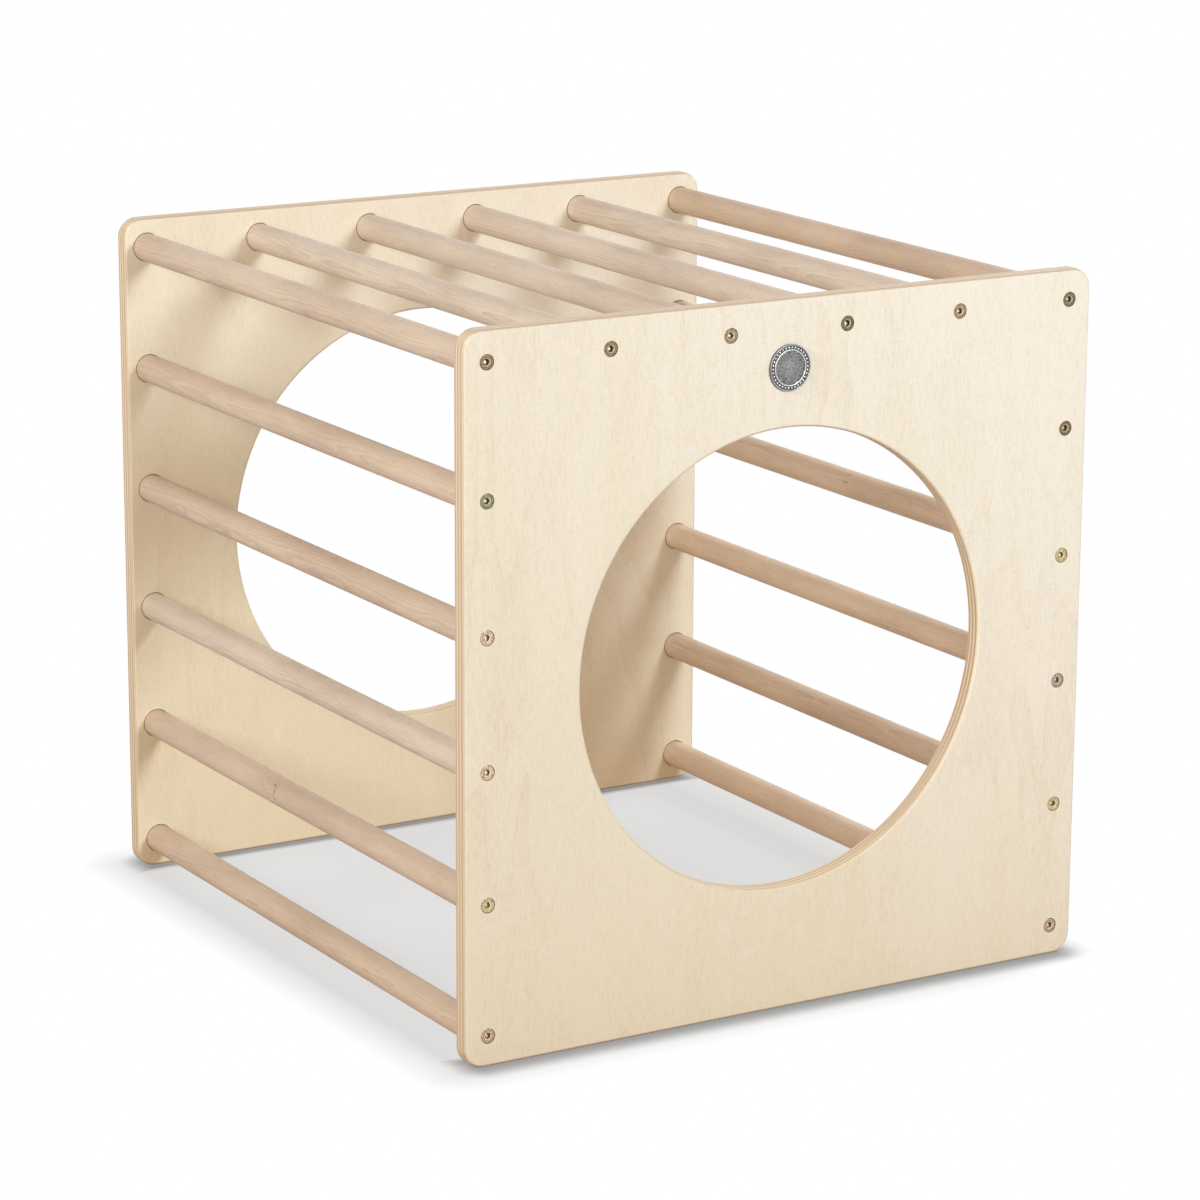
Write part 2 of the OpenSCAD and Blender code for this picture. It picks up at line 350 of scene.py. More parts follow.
def floor_paint():
    floor = Finish("studio_white")
    floor.tree.nodes.remove(floor.shader)
    place = floor.place()
    folded = floor.node("ShaderNodeVectorMath", {0: place}, operation="ABSOLUTE").outputs[0]
    x = floor.split(place)[0]
    from_middle = floor.split(folded)[1]
    half_w, half_d = cad_box[1].x, cad_box[1].y
    distance = outside(floor, folded, half_w, half_d)

    # 0 under the cube, 1 where the shadow has ended
    width = floor.remap(x, FADE_TURN * half_w, half_w, FADE_LEFT, FADE_RIGHT)
    fade = floor.math("MINIMUM", floor.math("DIVIDE", distance, width), 1.0)
    fade = floor.math("POWER", fade, FADE_POWER)
    tone = floor.math("MULTIPLY_ADD", fade, 1.0 - UNDER_SHADOW, UNDER_SHADOW)

    # Painted contact shadow: a soft dark band outside the ends' feet, and a thin dark line inside
    foot = outside(floor, folded, half_w - FOOT_INSET, half_d)
    foot = floor.remap(foot, FOOT_START, FOOT_REACH, FOOT_SHADOW, 1.0)
    between = floor.remap(from_middle, half_d - BETWEEN_START, half_d - BETWEEN_FULL)
    tone = floor.math("MULTIPLY", tone, floor.math("MAXIMUM", foot, between))
    line = floor.node("ShaderNodeAmbientOcclusion", {"Distance": LINE_REACH}).outputs["AO"]
    beyond = floor.math("SUBTRACT", 1.0, between)
    tone = floor.math("MULTIPLY", tone, floor.math("MAXIMUM", line, beyond))
    plain = floor.node("ShaderNodeEmission", {"Strength": tone}).outputs[0]

    matt = floor.node("ShaderNodeBsdfDiffuse", {"Color": FLOOR_WHITE}).outputs[0]
    share = floor.math("MULTIPLY_ADD", fade, TRUE_SHADOW, 1.0 - TRUE_SHADOW)
    shown = floor.node("ShaderNodeMixShader", {0: share, 1: matt, 2: plain}).outputs[0]
    glow = floor.blend(floor.math("MULTIPLY", distance, 1 / GLOW_REACH), GLOW_NEAR, GLOW_FAR)
    glow = floor.node("ShaderNodeEmission", {"Color": glow}).outputs[0]
    seen = seen_directly(floor.tree)
    chosen = floor.node("ShaderNodeMixShader", {0: seen, 1: glow, 2: shown}).outputs[0]
    floor.tree.links.new(chosen, floor.tree.nodes["Material Output"].inputs["Surface"])
    return floor.material


print("floor tone under the cube:", UNDER_SHADOW, "fading over", FADE_LEFT, "m on the left")

# %% [markdown]
# The floor itself is one large square, so wide that its far edge lies beyond every picture. It
# isn't part of the cube.

# %% Lay the floor
FLOOR_SIZE = 40.0
FLOOR_DROP = 0.2 * MM


def lay_floor():
    half = FLOOR_SIZE / 2
    corners = [(-half, -half), (half, -half), (half, half), (-half, half)]
    mesh = bpy.data.meshes.new("floor")
    mesh.from_pydata([(x, y, -FLOOR_DROP) for x, y in corners], [], [(0, 1, 2, 3)])
    mesh.materials.append(floor_paint())
    floor = bpy.data.objects.new("floor", mesh)
    bpy.context.scene.collection.objects.link(floor)


lay_floor()
print("floor laid:", FLOOR_SIZE, "m square")

# %% [markdown]
# ## Measure the solids
# Nothing here is typed twice: the panels' width, height and thickness, each rung's axis and the
# depth of the sockets all come from the boxes of the packed solids. A few sizes don't show in a box,
# such as the radius of a corner or the bore of the hole, and they are named here in millimetres.

# %% Take the sizes from the frame
front_low, front_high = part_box("front_panel")
rear_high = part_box("rear_panel")[1]
panel_w = front_high.x - front_low.x
panel_h = front_high.z - front_low.z
panel_t = front_high.y - front_low.y
hole_z = panel_h / 2

CORNER_R = 20 * MM
EDGE_R = 3 * MM
HOLE_R = 226 * MM
RIM_R = 3 * MM

RUNGS = [f"top_rung_{number}" for number in range(1, 7)]
RUNGS += [f"left_rung_{number}" for number in range(1, 6)]
RUNGS += [f"right_rung_{number}" for number in range(1, 6)]


def axis_of(rung):
    """Where a rung's axis crosses the panels, as (x, z)."""
    low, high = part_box(rung)
    return ((low.x + high.x) / 2, (low.z + high.z) / 2)


spots = {rung: axis_of(rung) for rung in RUNGS}
rung_low, rung_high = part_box(RUNGS[0])
rung_r = (rung_high.z - rung_low.z) / 2
rung_half = rung_high.y
web = rung_low.y - front_low.y
print("panel:", round(panel_w, 4), round(panel_h, 4), round(panel_t, 4))
print("rung radius:", round(rung_r, 4), "rung length:", round(2 * rung_half, 4), "web:", round(web, 4))

# %% [markdown]
# ## Birch plywood
# The ends are 18 mm birch plywood of seven plies. A birch log is peeled like a roll of paper, so the
# face shows long upright fibres, soft clouds and faint flames where the knife ran through the growth
# rings. The plies lie crosswise in turn, so on an edge every second one shows end grain, which drinks
# more lacquer and looks browner, with a thin glue line between. All of it follows from two things:
# how deep a point lies in the panel, which tells the ply, and which way the surface faces, which
# tells end grain from long grain. So the stripes also come out right on the rounded arrises and in
# the crawl hole, where a picture wrapped round the panel would smear. The colours come first, and
# then the figure, as layers of noise from broad clouds down to single pores.

# %% The colours and the figure of birch
# The ground of each panel, from yellow to pale; its drift to pale towards the top is painted light
FRONT_YELLOW = colour(0.874, 0.778, 0.604)
FRONT_PALE = colour(0.910, 0.832, 0.706)
REAR_YELLOW = colour(0.884, 0.774, 0.578)
REAR_PALE = colour(0.920, 0.822, 0.684)
BIRCH_PALE = colour(0.915, 0.840, 0.690)
BIRCH_TAN = colour(0.640, 0.470, 0.280)
BIRCH_EDGE = colour(0.800, 0.605, 0.385)
BIRCH_END = colour(0.440, 0.255, 0.130)
BIRCH_HANDLED = colour(0.430, 0.300, 0.240)
# Drilled walls: raw end grain, darkened as painted shade of the gaps round rungs and heads
DRILL_SHADE = colour(0.16, 0.085, 0.045)
DRILL_BROWN = colour(0.34, 0.20, 0.11)

# Cells a metre along X, Y and Z where the grain runs along Z, and how fine and rough the noise is
BIRCH_NOISE = {
    "cloud": ((13, 13, 3.2), 3.0, 0.6),
    "patch": ((48, 48, 17), 3.0, 0.6),
    "rings": ((5.5, 5.5, 1.3), 3.0, 0.55),
    "flamed": ((4, 4, 2.5), 1.0),
    "fibre": ((620, 620, 75), 2.0, 0.6),
    "fleck": ((260, 260, 850), 2.0, 0.6),
    "streak": ((120, 120, 6), 3.0, 0.6),
    "pore": ((900, 900, 90), 1.0),
    "drift": ((17, 17, 3.0), 3.0, 0.6),
    "bare": ((60, 60, 36), 3.0, 0.65),
}
FLAME_STRIPES = 11.0
TAN_WEIGHTS = {
    "cloud": 0.22, "patch": 0.18, "flame": 0.16, "fibre": 0.70, "fleck": 0.58, "streak": 0.14, "pore": 0.16,
}
TAN_START = -0.87


def birch_figure(wood, grain):
    """Every layer of the figure by its name, each from 0 to 1."""
    figure = {layer: wood.noise(grain, *noise) for layer, noise in BIRCH_NOISE.items()}
    flame = wood.math("FRACT", wood.math("MULTIPLY", figure["rings"], FLAME_STRIPES))
    flamed = wood.remap(figure["flamed"], 0.42, 0.70)
    figure["flame"] = wood.math("MULTIPLY", wood.math("POWER", flame, 3.0), flamed)
    figure["pore"] = wood.remap(figure["pore"], 0.64, 0.74)
    figure["bare"] = wood.remap(figure["bare"], 0.56, 0.70)
    return figure


print("birch figure:", sorted(BIRCH_NOISE))

# %% [markdown]
# The plies come from the depth alone. Every ply gets coordinates of its own, in which the grain runs
# along Z, so one set of noises serves the upright plies and the lying ones. On the worked edges the
# glue lines, the end grain and the tone of much handled arrises come on top.

# %% Plies and worked edges
PLIES = 7
PLY_MARGIN = 0.02
PLY_SHIFT = 1.37
GLUE_WAVER = 0.30
EDGE_ZONE = 4 * MM


def birch_plies(wood, place, depth):
    """The number of the ply that a point lies in, and how far across it the point lies."""
    waver = wood.math("SUBTRACT", wood.noise(place, (14, 14, 14), 2.0), 0.5)
    waver = wood.math("MULTIPLY", waver, GLUE_WAVER)
    across = wood.math("MULTIPLY_ADD", depth, 1 / (panel_t / PLIES), waver)
    across = wood.math("MAXIMUM", across, PLY_MARGIN)
    across = wood.math("MINIMUM", across, PLIES - PLY_MARGIN)
    return wood.math("FLOOR", across), wood.math("FRACT", across)


def birch_grain(wood, place, ply, cross, seed):
    """Coordinates of each ply's own, in which the grain runs along Z."""
    x, y, z = wood.split(place)
    own_x = wood.math("MULTIPLY_ADD", ply, PLY_SHIFT, wood.math("ADD", x, seed))
    return wood.blend(cross, wood.join(own_x, y, z), wood.join(z, y, own_x), "VECTOR")


def near_border(wood, off_middle, half):
    """1 close to the panel's outer edge, 0 on the rest of the face."""
    return wood.remap(wood.math("ABSOLUTE", off_middle), half - EDGE_ZONE, half - EDGE_ZONE / 2)


def birch_edges(wood, place, cross, in_ply):
    """Where a panel is worked edge, end grain, handled and glue, each from 0 to 1."""
    facing_x, facing_y, facing_z = wood.split(wood.node("ShaderNodeTexCoord", {}).outputs["Normal"])
    to_face = wood.math("ABSOLUTE", facing_y)
    worked = wood.remap(to_face, 0.99, 0.75)
    along = wood.math("ABSOLUTE", wood.blend(cross, facing_z, facing_x, "FLOAT"))
    end_grain = wood.math("POWER", along, 1.5)
    x, _, z = wood.split(place)
    border = near_border(wood, x, panel_w / 2)
    border = wood.math("MAXIMUM", border, near_border(wood, wood.math("SUBTRACT", z, hole_z), panel_h / 2))
    arris = wood.band(to_face, 0.15, 0.50, 0.80, 0.97)
    handled = wood.math("MULTIPLY", border, wood.total((arris, 0.22), (worked, 0.24)))
    glue = wood.remap(wood.math("ABSOLUTE", wood.math("SUBTRACT", in_ply, 0.5)), 0.40, 0.5)
    return worked, end_grain, handled, wood.math("MULTIPLY", glue, worked)


print("plies:", PLIES, "of", round(panel_t / PLIES / MM, 2), "mm")

# %% [markdown]
# Now the layers are laid on one another as a finisher would stain a board. The ground drifts from
# yellow to pale: paler to the right, and paler towards the top as painted light from above. Drilled
# holes show raw end grain, darkened further with painted shade for the gaps round rungs and heads,
# so they have a small recipe of their own.

# %% The birch recipe


def birch(name, face_y, inward, seed, yellow, pale):
    """Plywood for a panel whose outer face lies at face_y and whose plies follow inward along Y."""
    wood = Finish(name)
    place = wood.place()
    x, y, z = wood.split(place)
    depth = wood.math("MULTIPLY", wood.math("SUBTRACT", y, face_y), inward)
    ply, in_ply = birch_plies(wood, place, depth)
    cross = wood.math("MODULO", ply, 2.0)
    figure = birch_figure(wood, birch_grain(wood, place, ply, cross, seed))
    worked, end_grain, handled, glue = birch_edges(wood, place, cross, in_ply)
    # Paler to the right as the veneer's own tone, and paler towards the top as painted light from above
    drift = wood.total((figure["drift"], 1.2), (x, 0.9 / panel_w), (z, 1.0 / panel_h), (-0.72, 1.0))
    tone = wood.coats(
        wood.blend(drift, yellow, pale),
        (0.35, figure["bare"], BIRCH_PALE),
        (1.0, wood.weigh(figure, TAN_WEIGHTS, TAN_START), BIRCH_TAN),
        (0.46, worked, BIRCH_EDGE),
        (0.68, end_grain, BIRCH_END),
        (1.0, handled, BIRCH_HANDLED),
        (0.75, glue, BIRCH_END),
    )
    fibre, fleck, pore = figure["fibre"], figure["fleck"], figure["pore"]
    height = wood.total((fibre, 0.5), (fleck, 0.3), (pore, -0.5), (glue, -0.6))
    wood.shade(
        Base_Color=tone,
        Roughness=wood.total((fibre, 0.16), (figure["cloud"], 0.10), (0.42, 1.0)),
        Specular_IOR_Level=0.35,
        Normal=wood.bump(height, 0.35, 0.12 * MM),
    )
    return wood.material


def drilled_with_shade():
    """The walls of drilled holes: raw end grain, with painted shade for the gaps round rungs and heads."""
    wood = Finish("birch_drilled")
    dark_blots = wood.noise(wood.place(), (240, 500, 240), 3.0, 0.6)
    wood.shade(
        Base_Color=wood.blend(dark_blots, DRILL_SHADE, DRILL_BROWN),
        Roughness=wood.total((dark_blots, 0.2), (0.6, 1.0)),
        Normal=wood.bump(dark_blots, 0.4, 0.2 * MM),
    )
    return wood.material


front_birch = birch("birch_front", front_low.y, 1.0, 0.0, FRONT_YELLOW, FRONT_PALE)
rear_birch = birch("birch_rear", rear_high.y, -1.0, 7.3, REAR_YELLOW, REAR_PALE)
drilled_birch = drilled_with_shade()
print("birch wired with", len(front_birch.node_tree.nodes), "nodes")

# %% [markdown]
# ## Beech
# The rungs are turned from steamed beech: pinkish, dense and even. A dowel is cut from a board
# somewhere beside the pith, so the growth rings are wide arcs that run down its length, and because
# the board was never quite true to the tree they break out in long narrow loops. Short darker flecks
# are the rays. No two boards have quite the same colour, so five tones are shared out as they look
# in the photograph. Each has a pale ground and a deep tone for its figure.

# %% The colours and the figure of beech
BEECH_TONES = {
    "cream": (colour(0.660, 0.530, 0.425), colour(0.355, 0.233, 0.160)),
    "plain": (colour(0.640, 0.490, 0.375), colour(0.340, 0.215, 0.145)),
    "rosy": (colour(0.620, 0.465, 0.350), colour(0.325, 0.202, 0.133)),
    "warm": (colour(0.685, 0.515, 0.380), colour(0.365, 0.225, 0.145)),
    "brown": (colour(0.605, 0.445, 0.325), colour(0.320, 0.195, 0.120)),
}
BEECH_KNOT = colour(0.070, 0.040, 0.025)

# Cells a metre along X, Y and Z, where Y runs down the rung, and how fine and rough the noise is
BEECH_NOISE = {
    "sway": ((18, 6.5, 18), 3.0),
    "cloud": ((10, 5.0, 10), 2.0),
    "mottle": ((60, 14, 60), 3.0, 0.6),
    "fibre": ((620, 40, 620), 3.0, 0.65),
    "fleck": ((800, 110, 800), 1.0),
}
DEEP_WEIGHTS = {"ring": 0.29, "cloud": 0.90, "mottle": 0.46, "fibre": 0.50, "fleck": 0.18}
DEEP_START = -0.84


def by_rung(top, left, right):
    """One name for each rung, from the names for the top, the left and the right in their order."""
    return dict(zip(RUNGS, top.split() + left.split() + right.split()))


RUNG_TONES = by_rung(
    top="plain cream cream cream cream brown",
    left="rosy rosy cream rosy rosy",
    right="rosy warm warm brown warm",
)
print("rungs in each tone:", {tone: list(RUNG_TONES.values()).count(tone) for tone in BEECH_TONES})

# %% [markdown]
# Three rungs in the photograph have marks of their own: an eye, where the rings bulge round an old
# bud, a pin knot with a fine crack, and a dark seam. A mark is a small egg-shaped region on the
# rung's skin. Inside it the rings are lifted or the wood is darkened.

# %% Eyes, knots and seams
# Along the rung in metres, round it in degrees, half size across and along the grain in mm,
# how many rings it lifts, and how much it darkens
EYES = {
    "left_rung_1": [(0.195, 122, 8, 24, 4.0, 0.0)],
    "left_rung_4": [
        (0.049, 136, 1.8, 1.2, 0.3, 1.0), (0.045, 162, 7.5, 0.8, 0.0, 0.80), (0.042, 187, 1.2, 1.2, 0.0, 0.9),
        (0.047, 150, 7, 16, 1.6, 0.0),
    ],
    "right_rung_2": [(-0.007, 158, 0.55, 5.5, 0.3, 0.85), (-0.03, 160, 7, 20, 2.0, 0.0)],
}


def odd_eyes(rung, draw):
    """The marks of a rung: those in the photograph, or by chance one faint eye."""
    if rung in EYES:
        return EYES[rung]
    if draw.random() < 0.5:
        return []
    return [(draw.uniform(-0.3, 0.3), draw.uniform(0, 360), 7, draw.uniform(14, 30), draw.uniform(1, 3), 0.0)]


def beech_marks(wood, place, spot, marks):
    """How many rings the marks lift at a point, and how much they darken it."""
    lifted = 0.0
    darkened = 0.0
    for along, around, half_across, half_along, rings, dark in marks:
        angle = math.radians(around)
        centre = (spot[0] + rung_r * math.cos(angle), along, spot[1] + rung_r * math.sin(angle))
        shape = [1 / (half * MM) for half in (half_across, half_along, half_across)]
        shift = [-offset * size for offset, size in zip(centre, shape)]
        distance = wood.length(wood.stretch(place, shape, shift))
        lifted = wood.math("MULTIPLY_ADD", wood.remap(distance, 1.5, 0.0), rings, lifted)
        darkened = wood.math("MULTIPLY_ADD", wood.remap(distance, 1.2, 0.5), dark, darkened)
    return lifted, darkened


print("rungs with marks of their own:", sorted(EYES))

# %% [markdown]
# Each rung gets its own recipe: its rings are centred on a pith of its own, beside the rung and a
# little out of line with it. The distance to that pith, counted in ring widths and bent by a slow
# noise, gives the rings. So one function makes sixteen different rungs.

# %% The beech recipe
RING_GAP = 2.2 * MM
RING_SWAY = 5.0
LEAN = math.radians(1.2)
PITH_NEAR = 30 * MM
PITH_FAR = 80 * MM
SLIDE = 50 * MM
RUNG_SEED = 16


def beech(name, spot, tones, draw, marks):
    """Beech for the rung whose axis crosses the panels at spot; draw gives its chances."""
    wood = Finish(name)
    place = wood.place()
    turn = (draw.uniform(-LEAN, LEAN), draw.uniform(0, math.tau), draw.uniform(-LEAN, LEAN))
    own = wood.turned(place, (spot[0], draw.uniform(-SLIDE, SLIDE), spot[1]), turn)
    x, _, z = wood.split(own)
    pith = draw.uniform(PITH_NEAR, PITH_FAR)
    lifted, darkened = beech_marks(wood, place, spot, marks)
    figure = {layer: wood.noise(own, *noise) for layer, noise in BEECH_NOISE.items()}
    radius = wood.length(wood.join(wood.math("ADD", x, pith), 0.0, z))
    ring = wood.math("MULTIPLY_ADD", radius, 1 / RING_GAP, wood.math("MULTIPLY", figure["sway"], RING_SWAY))
    ring = wood.math("FRACT", wood.math("ADD", ring, lifted))
    figure["ring"] = wood.math("POWER", ring, 2.0)
    figure["fleck"] = wood.remap(figure["fleck"], 0.60, 0.72)
    tone = wood.blend(wood.weigh(figure, DEEP_WEIGHTS, DEEP_START), *tones)
    if marks:
        tone = wood.blend(wood.clamp(darkened), tone, BEECH_KNOT)
    height = wood.total((figure["fibre"], 0.6), (figure["fleck"], -0.6))
    wood.shade(
        Base_Color=tone,
        Roughness=wood.total((figure["fibre"], 0.14), (figure["mottle"], 0.10), (0.40, 1.0)),
        Specular_IOR_Level=0.35,
        Normal=wood.bump(height, 0.3, 0.10 * MM),
    )
    return wood.material


chances = random.Random(RUNG_SEED)
beeches = {}
for rung in RUNGS:
    marks = odd_eyes(rung, chances)
    tones = BEECH_TONES[RUNG_TONES[rung]]
    beeches[rung] = beech("beech_" + rung, spots[rung], tones, chances, marks)
print("beech finishes:", len(beeches))

# %% [markdown]
# ## Zinc plating
# The screws are steel with a yellow zinc plating. Its passive film is thinner here and thicker there,
# and like oil on water it turns olive, straw, copper or rose; no two heads in a bag are alike, and
# each drifts a little across its face. Nine tones from one recipe are enough. The skin of a screw
# carries its reach at every point: 0 on the axis, 1 at the rim of the head. The socket's flats lie at
# 0.35 and its mouth at 0.5, so the rings of dirt, painted shade and painted highlight can be told by
# their reach alone.

# %% The plating recipe
# Dark dirt that also paints the shade in the socket, painted shade of the rim's gap, painted highlights
DIRT_AND_SHADE = colour(0.060, 0.042, 0.025)
RIM_GAP_SHADE = colour(0.090, 0.045, 0.020)
MOUTH_HIGHLIGHT = colour(0.95, 0.92, 0.74)
GLINT = colour(0.98, 0.97, 0.62)

# The main tone of a head and the tone it drifts to
ZINC_TONES = {
    "brown": (colour(0.42, 0.28, 0.17), colour(0.34, 0.24, 0.13)),
    "umber": (colour(0.34, 0.24, 0.14), colour(0.28, 0.20, 0.11)),
    "olive": (colour(0.24, 0.23, 0.11), colour(0.29, 0.23, 0.11)),
    "moss": (colour(0.36, 0.34, 0.20), colour(0.43, 0.35, 0.20)),
    "straw": (colour(0.82, 0.68, 0.33), colour(0.74, 0.56, 0.32)),
    "bronze": (colour(0.52, 0.34, 0.22), colour(0.50, 0.39, 0.21)),
    "copper": (colour(0.68, 0.42, 0.30), colour(0.66, 0.48, 0.27)),
    "rose": (colour(0.93, 0.59, 0.47), colour(0.88, 0.65, 0.41)),
    "lilac": (colour(0.60, 0.48, 0.42), colour(0.54, 0.42, 0.33)),
}


def plated(name, main, drift):
    """Yellow zinc plating that drifts from its main tone to another across a head."""
    metal = Finish(name)
    place = metal.place()
    reach = metal.node("ShaderNodeAttribute", {}, attribute_name="reach").outputs["Fac"]
    cloud = metal.remap(metal.noise(place, (220, 220, 220), 2.0), 0.35, 0.65)
    grain = metal.noise(place, (560, 560, 560), 4.0, 0.75)
    tone = metal.coats(
        metal.blend(cloud, main, drift),
        # Dirt in the grain, then a painted highlight on the socket's mouth and a darker ring round it
        (0.72, metal.remap(grain, 0.46, 0.60), DIRT_AND_SHADE),
        (0.50, metal.band(reach, 0.42, 0.48, 0.52, 0.60), MOUTH_HIGHLIGHT),
        (0.30, metal.band(reach, 0.58, 0.64, 0.68, 0.76), DIRT_AND_SHADE),
        # Painted shade of the gap on the head's rim and in the socket, and a painted glint on its floor
        (0.45, metal.remap(reach, 0.88, 0.95), RIM_GAP_SHADE),
        (0.90, metal.remap(reach, 0.42, 0.28), DIRT_AND_SHADE),
        (1.0, metal.remap(reach, 0.24, 0.12), GLINT),
    )
    metal.shade(
        Base_Color=tone,
        Metallic=1.0,
        Roughness=metal.total((grain, 0.22), (cloud, 0.06), (0.16, 1.0)),
        Normal=metal.bump(grain, 0.4, 0.08 * MM),
    )
    return metal.material


PLATING = {tone: plated("zinc_" + tone, *pair) for tone, pair in ZINC_TONES.items()}
print("plating tones:", sorted(PLATING))

# %% [markdown]
# ## A bench for meshes
# Every piece here is a closed skin made of rings: round a rung, round a screw, round the panel's
# edge. Boolean cuts could drill the panel, but they leave slivers that spoil the shading. So a small
# helper keeps points and faces, joins ring to ring, and closes a ring on its middle. The finished
# piece gets its finishes and soft shading with sharp creases kept, rides on the cube's one body and
# takes the place of its solid, which is hidden.

# %% The helper that builds a skin
CREASE = math.radians(35)


class Skin:
    """Points and faces of one closed piece."""

    def __init__(self):
        self.points = []
        self.reaches = []
        self.faces = []
        self.tones = []

    def ring(self, points, reach=0.0):
        """Adds points and returns their numbers; reach is their share of the piece's radius."""
        first = len(self.points)
        self.points += points
        self.reaches += [reach] * len(points)
        return list(range(first, len(self.points)))

    def face(self, corners, tone=0):
        self.faces.append(corners)
        self.tones.append(tone)

    def bridge(self, ring, other, tone=0):
        """Joins two rings of as many points with a band of faces."""
        for here in range(len(ring)):
            there = (here + 1) % len(ring)
            self.face((ring[here], ring[there], other[there], other[here]), tone)

    def close(self, ring, middle, tone=0):
        """Closes a ring with a fan on its middle."""
        centre = self.ring([middle])[0]
        for here in range(len(ring)):
            self.face((ring[here], ring[(here + 1) % len(ring)], centre), tone)


def circle(spot, radius, y, count, start=0.0):
    """Ring of points round an axis along Y."""
    points = []
    for step in range(count):
        angle = start + math.tau * step / count
        points.append((spot[0] + radius * math.cos(angle), y, spot[1] + radius * math.sin(angle)))
    return points


def finish_piece(name, skin, materials, nodes):
    """Turns a skin into an object that stands for its solids and rides with the cube."""
    mesh = bpy.data.meshes.new(name)
    mesh.from_pydata(skin.points, [], skin.faces)
    for material in materials:
        mesh.materials.append(material)
    mesh.polygons.foreach_set("material_index", skin.tones)
    if any(skin.reaches):
        mesh.attributes.new("reach", "FLOAT", "POINT").data.foreach_set("value", skin.reaches)
    work = bmesh.new()
    work.from_mesh(mesh)
    bmesh.ops.recalc_face_normals(work, faces=work.faces)
    open_edges = sum(not edge.is_manifold for edge in work.edges)
    work.to_mesh(mesh)
    work.free()
    mesh.shade_smooth()
    mesh.set_sharp_from_angle(angle=CREASE)
    piece = bpy.data.objects.new(name, mesh)
    bpy.context.scene.collection.objects.link(piece)
    even = piece.modifiers.new("even_faces", "WEIGHTED_NORMAL")
    even.keep_sharp = True
    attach(piece, "root")
    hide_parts(*nodes)
    print(f"{name}: {len(mesh.polygons)} faces, {open_edges} open edges")


print("edges sharper than", round(math.degrees(CREASE)), "degrees stay creases")

# %% [markdown]
# ## The end panels
# A panel is sawn square, its corners are rounded, every edge is run over with a roundover bit, and
# then it is drilled: countersunk holes from outside, blind sockets from inside, both on the rungs'
# axes. The skin follows the same order. Rings run round the outer edge and round the crawl hole,
# each hole is one run of rings from the outer face to the inner one, and the two flat faces are
# filled between the rings with even triangles over a loose grid of points.

# %% Rings round the panel's edge and the crawl hole
CORNER_STEPS = 10
ROUND_STEPS = 5
SIDE_STEPS = 26
HOLE_STEPS = 192


def edge_ring(inset, y):
    """Ring round the panel, drawn in by inset from its outer edge."""
    radius = CORNER_R - inset
    reach_x = panel_w / 2 - CORNER_R
    reach_z = panel_h / 2 - CORNER_R
    corners = []
    for sign_x, sign_z, start in ((1, 1, 0), (-1, 1, 90), (-1, -1, 180), (1, -1, 270)):
        arc = []
        for step in range(CORNER_STEPS + 1):
            angle = math.radians(start + 90 * step / CORNER_STEPS)
            x = sign_x * reach_x + radius * math.cos(angle)
            z = hole_z + sign_z * reach_z + radius * math.sin(angle)
            arc.append(Vector((x, y, z)))
        corners.append(arc)
    points = []
    for number, arc in enumerate(corners):
        following = corners[(number + 1) % 4][0]
        points += arc
        points += [arc[-1].lerp(following, step / SIDE_STEPS) for step in range(1, SIDE_STEPS)]
    return points


def roundover(radius):
    """Quarter round in even steps, as (inset from the edge, depth from the face)."""
    angles = [math.pi / 2 * step / ROUND_STEPS for step in range(ROUND_STEPS + 1)]
    return [(radius * (1 - math.sin(angle)), radius * (1 - math.cos(angle))) for angle in angles]


def across_edge(radius):
    """The whole edge from the outer face to the inner one."""
    outer = roundover(radius)
    return outer + [(inset, panel_t - depth) for inset, depth in reversed(outer)]


print("points round the panel:", len(edge_ring(0.0, 0.0)), "and round the crawl hole:", HOLE_STEPS)

# %% [markdown]
# The flat faces come next. Blender's constrained triangulation takes the rings as fixed edges and
# the grid as loose points; the triangles that fall inside a hole are then left out.

# %% Fill a flat face
GRID = 20 * MM
GRID_CLEAR = 7 * MM
# The least area of a triangle in square metres, and how close two points count as one, in metres
SLIVER = 1e-7
SAME_POINT = 1e-7


def loose_grid(holes):
    """Points of an even grid that keep clear of the panel's edge and of every hole."""
    reach = int(panel_w / 2 / GRID)
    grid = []
    for column in range(-reach, reach + 1):
        for row in range(-reach, reach + 1):
            spot = Vector((column * GRID, hole_z + row * GRID))
            inside = abs(spot.x) < panel_w / 2 - EDGE_R - GRID_CLEAR
            inside = inside and abs(spot.y - hole_z) < panel_h / 2 - EDGE_R - GRID_CLEAR
            clear = all((spot - Vector(middle)).length > radius + GRID_CLEAR for _, middle, radius in holes)
            if inside and clear:
                grid.append(spot)
    return grid


def fill_flat(skin, rim, holes, y):
    """Fills the flat between an outer ring and holes given as (ring, spot, radius)."""
    loops = [rim] + [ring for ring, _, _ in holes]
    numbers = [number for loop in loops for number in loop]
    owner = {number: index for index, loop in enumerate(loops) for number in loop}
    numbers += skin.ring([(spot.x, y, spot.y) for spot in loose_grid(holes)])
    flat = [Vector((skin.points[number][0], skin.points[number][2])) for number in numbers]
    place = {number: index for index, number in enumerate(numbers)}
    edges = []
    for loop in loops:
        edges += [(place[loop[i]], place[loop[(i + 1) % len(loop)]]) for i in range(len(loop))]
    spread, _, triangles, origins, _, _ = geometry.delaunay_2d_cdt(flat, edges, [], 0, SAME_POINT)
    for triangle in triangles:
        corners = tuple(numbers[origins[corner][0]] for corner in triangle)
        owners = {owner.get(corner) for corner in corners}
        in_hole = len(owners) == 1 and owners.isdisjoint((None, 0))
        if not in_hole and geometry.area_tri(*(spread[corner] for corner in triangle)) > SLIVER:
            skin.face(corners)


print("loose points on a face without holes:", len(loose_grid([])))

